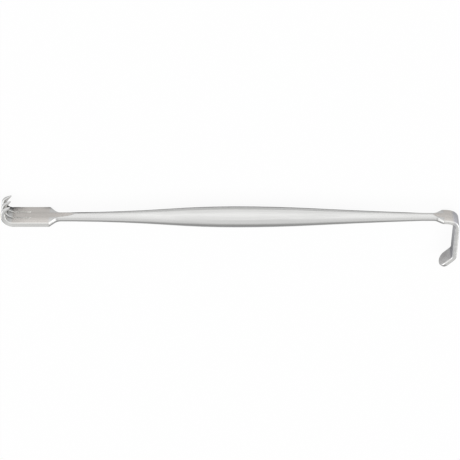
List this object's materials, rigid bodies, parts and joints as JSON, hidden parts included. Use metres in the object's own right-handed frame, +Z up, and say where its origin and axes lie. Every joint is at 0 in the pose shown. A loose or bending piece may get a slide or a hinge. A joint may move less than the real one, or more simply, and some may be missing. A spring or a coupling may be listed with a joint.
{
  "type": "handheld surgical retractor",
  "caption": "Double-ended hand retractor: a round tapered handle with a pronged rake of hooks at one end and a right-angled blade with an inturned rounded lip at the other.",
  "frame": {"origin": "centre of the bounding box at its base: the part lies on its side, on the side edge of the rake", "axes": "+X along the handle from the rake to the blade, +Y the way the prongs hook, +Z up, across the width of the rake and the blade"},
  "size_m": [0.1616, 0.0304, 0.0085],
  "materials": {
    "steel": "satin, with fine brushing across the flat faces"
  },
  "bodies": {
    "root": {"retractor": "steel"}
  },
  "joints": []
}
